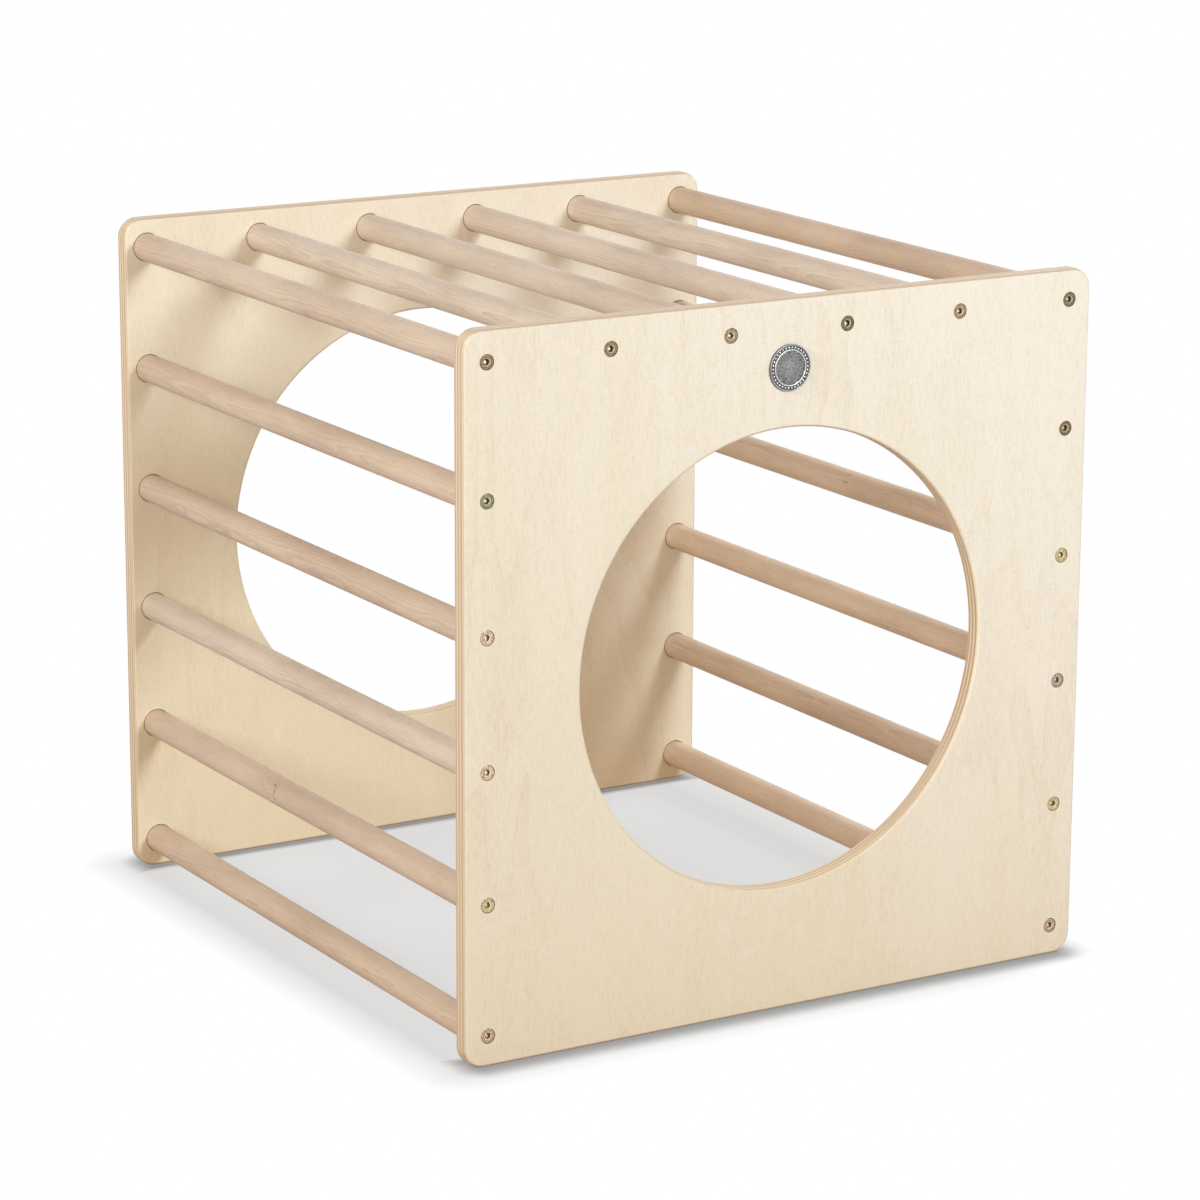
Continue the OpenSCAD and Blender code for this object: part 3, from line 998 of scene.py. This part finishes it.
# %% [markdown]
# Each rung's axis carries two cuts that meet: the countersunk hole from outside and the socket from
# inside. One list of radii and depths describes both, with a hair of an arris at each mouth, as
# sandpaper leaves it. The drilled walls get a dark finish of raw end grain and painted shade, which
# draws the thin dark line round every rung's end and every screw's head, where the gap lies in shade.

# %% Build both panels
HEAD_R = 7.125 * MM
HEAD_PLAY = 0.25 * MM
MOUTH_R = HEAD_R + HEAD_PLAY
MOUTH_DEPTH = 0.9 * MM
SHANK_R = 4.25 * MM
CONE_DEPTH = MOUTH_DEPTH + HEAD_R - SHANK_R
SOCKET_PLAY = 0.2 * MM
SOCKET_R = rung_r + SOCKET_PLAY
MOUTH_ARRIS = 0.12 * MM
SOCKET_ARRIS = 0.5 * MM
DRILL_STEPS = 64

DRILLED = [
    (MOUTH_R + MOUTH_ARRIS, 0.0),
    (MOUTH_R, MOUTH_ARRIS),
    (MOUTH_R, MOUTH_DEPTH),
    (HEAD_R, MOUTH_DEPTH),
    (SHANK_R, CONE_DEPTH),
    (SHANK_R, web),
    (SOCKET_R, web),
    (SOCKET_R, panel_t - SOCKET_ARRIS),
    (SOCKET_R + SOCKET_ARRIS, panel_t),
]


def run_of_rings(skin, rings, tone=0):
    """Adds rings and joins each to the next; returns the first and the last."""
    numbered = [skin.ring(points) for points in rings]
    for ring, following in zip(numbered, numbered[1:]):
        skin.bridge(ring, following, tone)
    return numbered[0], numbered[-1]


def build_panel(name, face_y, inward, material, node):
    skin = Skin()
    edge = [edge_ring(inset, face_y + inward * depth) for inset, depth in across_edge(EDGE_R)]
    outer_rim, inner_rim = run_of_rings(skin, edge)
    middle = (0.0, hole_z)
    bore = [
        circle(middle, HOLE_R + inset, face_y + inward * depth, HOLE_STEPS)
        for inset, depth in across_edge(RIM_R)
    ]
    outer_bore, inner_bore = run_of_rings(skin, bore)
    outer_holes = [(outer_bore, middle, HOLE_R + RIM_R)]
    inner_holes = [(inner_bore, middle, HOLE_R + RIM_R)]
    for spot in spots.values():
        drilled = [circle(spot, radius, face_y + inward * depth, DRILL_STEPS) for radius, depth in DRILLED]
        outer_ring, inner_ring = run_of_rings(skin, drilled, tone=1)
        outer_holes.append((outer_ring, spot, MOUTH_R + MOUTH_ARRIS))
        inner_holes.append((inner_ring, spot, SOCKET_R + SOCKET_ARRIS))
    fill_flat(skin, outer_rim, outer_holes, face_y)
    fill_flat(skin, inner_rim, inner_holes, face_y + inward * panel_t)
    finish_piece(name, skin, [material, drilled_birch], [node])


build_panel("front_panel_ply", front_low.y, 1.0, front_birch, "front_panel")
build_panel("rear_panel_ply", rear_high.y, -1.0, rear_birch, "rear_panel")

# %% [markdown]
# ## The rungs
# A rung is a dowel with a small bevel turned on each end and a stepped bore for its insert. Half of
# its outline, swept round the axis, is the whole piece. The rings along the length are close enough
# together for the mesh to stay even.

# %% Turn the rungs
BEVEL = 1.0 * MM
INSERT_BORE_R = 6.05 * MM
INSERT_BORE_DEPTH = 22.8 * MM
TIP_BORE_DEPTH = 32.3 * MM
RUNG_STEPS = 64
LENGTH_STEPS = 28


def rung_outline():
    """From the bottom of one bore over the outside to the bottom of the other, as (radius, y)."""
    end = [
        (SHANK_R, rung_half - TIP_BORE_DEPTH),
        (SHANK_R, rung_half - INSERT_BORE_DEPTH),
        (INSERT_BORE_R, rung_half - INSERT_BORE_DEPTH),
        (INSERT_BORE_R, rung_half),
        (rung_r - BEVEL, rung_half),
        (rung_r, rung_half - BEVEL),
    ]
    straight = rung_half - BEVEL
    between = [
        (rung_r, -straight + 2 * straight * step / LENGTH_STEPS) for step in range(1, LENGTH_STEPS)
    ]
    return [(radius, -y) for radius, y in end] + between + list(reversed(end))


def build_rung(rung):
    skin = Skin()
    spot = spots[rung]
    rings = [circle(spot, radius, y, RUNG_STEPS) for radius, y in rung_outline()]
    first, last = run_of_rings(skin, rings)
    skin.close(first, (spot[0], TIP_BORE_DEPTH - rung_half, spot[1]))
    skin.close(last, (spot[0], rung_half - TIP_BORE_DEPTH, spot[1]))
    finish_piece(rung + "_dowel", skin, [beeches[rung]], [rung])


for rung in RUNGS:
    build_rung(rung)

# %% [markdown]
# ## The screws
# The head is flat with a hair of a rounded edge, and below it a cone leads to the shank, which ends
# in a bevel. The head's radius and the cone are those that the panels were drilled for. The length
# and the depth below the face come from the box of the packed screws.

# %% The outline of a screw
screws_low, screws_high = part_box("front_screws")
HEAD_SET = screws_low.y - front_low.y
SCREW_LEN = screws_high.y - screws_low.y
HEAD_EDGE = 0.6 * MM
HEAD_ROUND = 0.22 * MM
HALFWAY_ROUND = 0.3 * HEAD_ROUND
THREAD_R = 4.0 * MM
TIP_BEVEL = 1.0 * MM
HEX_MOUTH_R = 3.6 * MM
SCREW_STEPS = 48

SCREW_OUTLINE = [
    (HEX_MOUTH_R, 0.0),
    (HEAD_R - HEAD_ROUND, 0.0),
    (HEAD_R - HALFWAY_ROUND, HALFWAY_ROUND),
    (HEAD_R, HEAD_ROUND),
    (HEAD_R, HEAD_EDGE),
    (THREAD_R, HEAD_EDGE + HEAD_R - THREAD_R),
    (THREAD_R, SCREW_LEN - TIP_BEVEL),
    (THREAD_R - TIP_BEVEL, SCREW_LEN),
]
print("screw:", round(SCREW_LEN / MM, 2), "mm long, set", round(HEAD_SET / MM, 2), "mm below the face")

# %% [markdown]
# The hex socket opens with a cone, so the six flats meet the cone in six scallops that catch the
# light. The six-sided mouth is a ring whose radius changes with the angle, and the depth of each of
# its points is where the cone has that radius.

# %% The hex socket
HEX_FLAT = 2.5 * MM
HEX_DEPTH = 3.6 * MM
HEX_FOOT = 0.2 * MM
BOTTOM_SHARE = 0.9
DRILL_POINT = 0.6 * MM


def hexagon(spot, share, depth_of, face_y, inward, turn):
    """Ring round the hex socket; depth_of gives a point's depth from its distance to the axis."""
    points = []
    for step in range(SCREW_STEPS):
        angle = math.tau * step / SCREW_STEPS
        from_flat = (angle + math.pi / 6) % (math.pi / 3) - math.pi / 6
        radius = HEX_FLAT / math.cos(from_flat)
        y = face_y + inward * depth_of(radius)
        x = spot[0] + share * radius * math.cos(angle + turn)
        z = spot[1] + share * radius * math.sin(angle + turn)
        points.append((x, y, z))
    return points


def add_socket(skin, spot, top_y, inward, turn, tone, rim):
    """Cuts the socket down from the rim of the flat head to the point that the drill left."""
    cuts = [
        (1.0, lambda radius: HEX_MOUTH_R - radius),
        (1.0, lambda radius: HEX_DEPTH - HEX_FOOT),
        (BOTTOM_SHARE, lambda radius: HEX_DEPTH),
    ]
    for share, depth_of in cuts:
        ring = skin.ring(hexagon(spot, share, depth_of, top_y, inward, turn), HEX_FLAT / HEAD_R)
        skin.bridge(rim, ring, tone)
        rim = ring
    skin.close(rim, (spot[0], top_y + inward * (HEX_DEPTH + DRILL_POINT), spot[1]), tone)


print("socket:", round(2 * HEX_FLAT / MM, 1), "mm across its flats and", round(HEX_DEPTH / MM, 1), "mm deep")

# %% [markdown]
# Each screw stops where its thread bites, so each socket is turned a little differently. The heads
# in front wear the tones that they have in the photograph, as near as nine tones come to it. The
# heads behind wear the same tones in another order.

# %% Drive the screws
FRONT_TONES = by_rung(
    top="brown brown bronze olive bronze umber",
    left="moss rose rose straw copper",
    right="umber straw lilac straw copper",
)
SHUFFLE_SEED = 5


def add_screw(skin, spot, top_y, inward, turn, tone):
    rings = []
    for radius, depth in SCREW_OUTLINE:
        points = circle(spot, radius, top_y + inward * depth, SCREW_STEPS, turn)
        rings.append(skin.ring(points, radius / HEAD_R))
    for ring, following in zip(rings, rings[1:]):
        skin.bridge(ring, following, tone)
    skin.close(rings[-1], (spot[0], top_y + inward * SCREW_LEN, spot[1]), tone)
    add_socket(skin, spot, top_y, inward, turn, tone, rings[0])


def build_screws(name, face_y, inward, tones, node, seed):
    skin = Skin()
    draw = random.Random(seed)
    names = list(PLATING)
    for rung, spot in spots.items():
        tone = names.index(tones[rung])
        add_screw(skin, spot, face_y + inward * HEAD_SET, inward, draw.uniform(0, math.tau), tone)
    finish_piece(name, skin, list(PLATING.values()), [node])


shuffled = list(FRONT_TONES.values())
random.Random(SHUFFLE_SEED).shuffle(shuffled)
rear_tones = dict(zip(RUNGS, shuffled))
build_screws("front_screw_set", front_low.y, 1.0, FRONT_TONES, "front_screws", 31)
build_screws("rear_screw_set", rear_high.y, -1.0, rear_tones, "rear_screws", 47)

# %% [markdown]
# ## The badge
# A round badge of cast pewter is stuck on the front panel above the hole. It has a rim, a sunk bare
# field and a thin raised ring, and small plain beads fill the band between ring and rim, as on the
# edge of a coin. Its outline is written from the back's edge over the rim into the field and is swept
# round the axis, as a lathe would cut it. Each raised edge is softened by a small rounding.

# %% The outline of the badge
badge_low, badge_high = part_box("badge")
badge_spot = ((badge_low.x + badge_high.x) / 2, (badge_low.z + badge_high.z) / 2)
badge_r = (badge_high.x - badge_low.x) / 2
badge_back = badge_high.y
badge_t = badge_high.y - badge_low.y
BADGE_SINK = 0.8 * MM
RIM_W = 1.2 * MM
RING_OUT = 17.6 * MM
RING_IN = 16.4 * MM
BADGE_ROUND = 0.4 * MM
ROUND_POINTS = 4
BADGE_STEPS = 96
WALL_LEAN = 0.1 * MM
FIELD_CROWN = 0.25 * MM
rim_in = badge_r - RIM_W
field_t = badge_t - BADGE_SINK


def rounded_step(radius, height, sign):
    """The rounded top corner of a raised band; sign is +1 where the radius grows towards it."""
    points = []
    for step in range(ROUND_POINTS):
        angle = math.pi / 2 * step / (ROUND_POINTS - 1)
        reach = BADGE_ROUND * (1 - math.cos(angle))
        drop = BADGE_ROUND * (1 - math.sin(angle))
        points.append((radius + sign * reach, height - drop))
    return points


def badge_outline():
    """From the back's edge over the rim to the crown of the field, as (radius, height)."""
    outline = [(badge_r, 0.0)]
    outline += rounded_step(badge_r, badge_t, -1)
    outline += list(reversed(rounded_step(rim_in, badge_t, 1)))
    outline += [(rim_in - WALL_LEAN, field_t), (RING_OUT + WALL_LEAN, field_t)]
    outline += rounded_step(RING_OUT, badge_t, -1)
    outline += list(reversed(rounded_step(RING_IN, badge_t, 1)))
    outline += [(RING_IN - WALL_LEAN, field_t)]
    for share in (0.8, 0.6, 0.4, 0.2):
        outline.append((RING_IN * share, field_t + FIELD_CROWN * (1 - share ** 2)))
    return outline


print("badge:", round(2 * badge_r / MM, 1), "mm across,", len(badge_outline()), "rings from edge to crown")

# %% [markdown]
# Pewter darkens in its hollows and stays bright where hands rub it. So the finish goes by height: a
# dark patina with slanting strokes at the depth of the field, a pale worn polish on what stands
# proud. The groove that holds the beads is darker still, and the ring is the brightest part.

# %% The pewter recipe
PATINA_DARK = colour(0.055, 0.052, 0.050)
PATINA_WORN = colour(0.360, 0.345, 0.335)
GROOVE_DIRT = colour(0.060, 0.062, 0.060)
PEWTER_GREY = colour(0.300, 0.300, 0.290)
PEWTER_BRIGHT = colour(0.780, 0.790, 0.770)
RIM_SHADE = colour(0.100, 0.100, 0.095)
RING_POLISH = colour(0.860, 0.850, 0.830)
EDGE_BLUR = 0.3 * MM
STROKE_SLANT = math.radians(28)


def cast_pewter():
    metal = Finish("pewter")
    place = metal.place()
    proud = metal.remap(metal.split(place)[1], badge_low.y + BADGE_SINK, badge_low.y)
    to_middle = metal.stretch(place, (1, 0, 1), (-badge_spot[0], 0, -badge_spot[1]))
    reach = metal.length(to_middle)
    rim = metal.remap(reach, rim_in - EDGE_BLUR, rim_in + EDGE_BLUR)
    outside_ring = (RING_OUT - WALL_LEAN, RING_OUT + EDGE_BLUR)
    ring = metal.band(reach, RING_IN - EDGE_BLUR, RING_IN + WALL_LEAN, *outside_ring)
    groove_end = rim_in - WALL_LEAN
    groove = metal.band(reach, *outside_ring, groove_end - EDGE_BLUR, groove_end)
    strokes = metal.noise(metal.turned(place, (0, 0, 0), (0, STROKE_SLANT, 0)), (260, 900, 1200), 3.0, 0.65)
    grain = metal.noise(place, (1100, 1100, 1100), 3.0, 0.65)
    cloud = metal.noise(place, (150, 150, 150), 2.0)
    worn = metal.remap(metal.total((strokes, 0.6), (grain, 0.4)), 0.40, 0.62)
    polish = metal.total((grain, 0.6), (cloud, 0.4))
    tone = metal.coats(
        metal.blend(worn, PATINA_DARK, PATINA_WORN),
        (0.65, groove, GROOVE_DIRT),
        (1.0, proud, metal.blend(polish, PEWTER_GREY, PEWTER_BRIGHT)),
        (0.40, rim, RIM_SHADE),
        (0.35, ring, RING_POLISH),
    )
    metal.shade(
        Base_Color=tone,
        Metallic=1.0,
        Roughness=metal.total((grain, 0.25), (0.22, 1.0)),
        Normal=metal.bump(metal.total((grain, 0.5), (strokes, 0.5)), 0.6, 0.2 * MM),
    )
    return metal.material


pewter = cast_pewter()
print("pewter wired with", len(pewter.node_tree.nodes), "nodes")

# %% [markdown]
# Each bead is a low dome whose foot reaches a little into the band, so bead and band need no joint.

# %% Cast the badge
BEADS = 34
BEAD_R = 1.4 * MM
BEAD_H = 0.65 * MM
# How far its foot lies below the band and its crown above it, as shares of a bead's height
BEAD_FOOT = 0.3 / 0.7
BEAD_CROWN = 1.15
BEAD_SLOPE = math.radians(63)
BEAD_STEPS = 12


def add_bead(skin, spot, base_y):
    rings = []
    for rise in (-BEAD_FOOT, 0.0, 0.5, 1.0):
        radius = BEAD_R * math.cos(max(rise, 0.0) * BEAD_SLOPE)
        rings.append(circle(spot, radius, base_y - rise * BEAD_H, BEAD_STEPS))
    first, last = run_of_rings(skin, rings)
    skin.close(first, (spot[0], base_y + BEAD_FOOT * BEAD_H, spot[1]))
    skin.close(last, (spot[0], base_y - BEAD_CROWN * BEAD_H, spot[1]))


def build_badge():
    skin = Skin()
    outline = badge_outline()
    rings = [circle(badge_spot, radius, badge_back - height, BADGE_STEPS) for radius, height in outline]
    first, last = run_of_rings(skin, rings)
    skin.close(first, (badge_spot[0], badge_back, badge_spot[1]))
    skin.close(last, (badge_spot[0], badge_back - field_t - FIELD_CROWN, badge_spot[1]))
    band = (rim_in + RING_OUT) / 2
    for spot in circle(badge_spot, band, 0.0, BEADS):
        add_bead(skin, (spot[0], spot[2]), badge_back - field_t)
    finish_piece("badge_casting", skin, [pewter], ["badge"])


build_badge()
print("beads:", BEADS)

# %% [markdown]
# ## Pieces that keep their solids
# The threaded inserts are buried in the rungs and the adhesive pad lies behind the badge. Their
# solids are already right, so they only get a finish: brass with the fine rings of a lathe, and pale
# foam with small cells.

# %% Finish the inserts and the pad
BRASS_DARK = colour(0.50, 0.34, 0.10)
BRASS_BRIGHT = colour(0.68, 0.50, 0.18)
FOAM_GREY = colour(0.66, 0.66, 0.63)
FOAM_PALE = colour(0.80, 0.80, 0.78)


def turned_brass():
    metal = Finish("brass")
    rings = metal.noise(metal.place(), (300, 4000, 300), 2.0)
    metal.shade(
        Base_Color=metal.blend(rings, BRASS_DARK, BRASS_BRIGHT),
        Metallic=1.0,
        Roughness=metal.total((rings, 0.2), (0.25, 1.0)),
        Normal=metal.bump(rings, 0.2, 0.05 * MM),
    )
    return metal.material


def pad_foam():
    foam = Finish("foam")
    cells = foam.noise(foam.place(), (2500, 2500, 2500), 2.0)
    foam.shade(
        Base_Color=foam.blend(cells, FOAM_GREY, FOAM_PALE),
        Roughness=foam.total((cells, 0.2), (0.75, 1.0)),
        Normal=foam.bump(cells, 0.5, 0.1 * MM),
    )
    return foam.material


def dress_solid(node, material):
    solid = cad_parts[node]
    for holder in solid.material_slots:
        holder.material = material
    print(node, "wears", material.name)


brass = turned_brass()
dress_solid("front_inserts", brass)
dress_solid("rear_inserts", brass)
dress_solid("badge_pad", pad_foam())

# %% [markdown]
# ## The size
# The dressed cube may not outgrow the packed solids.
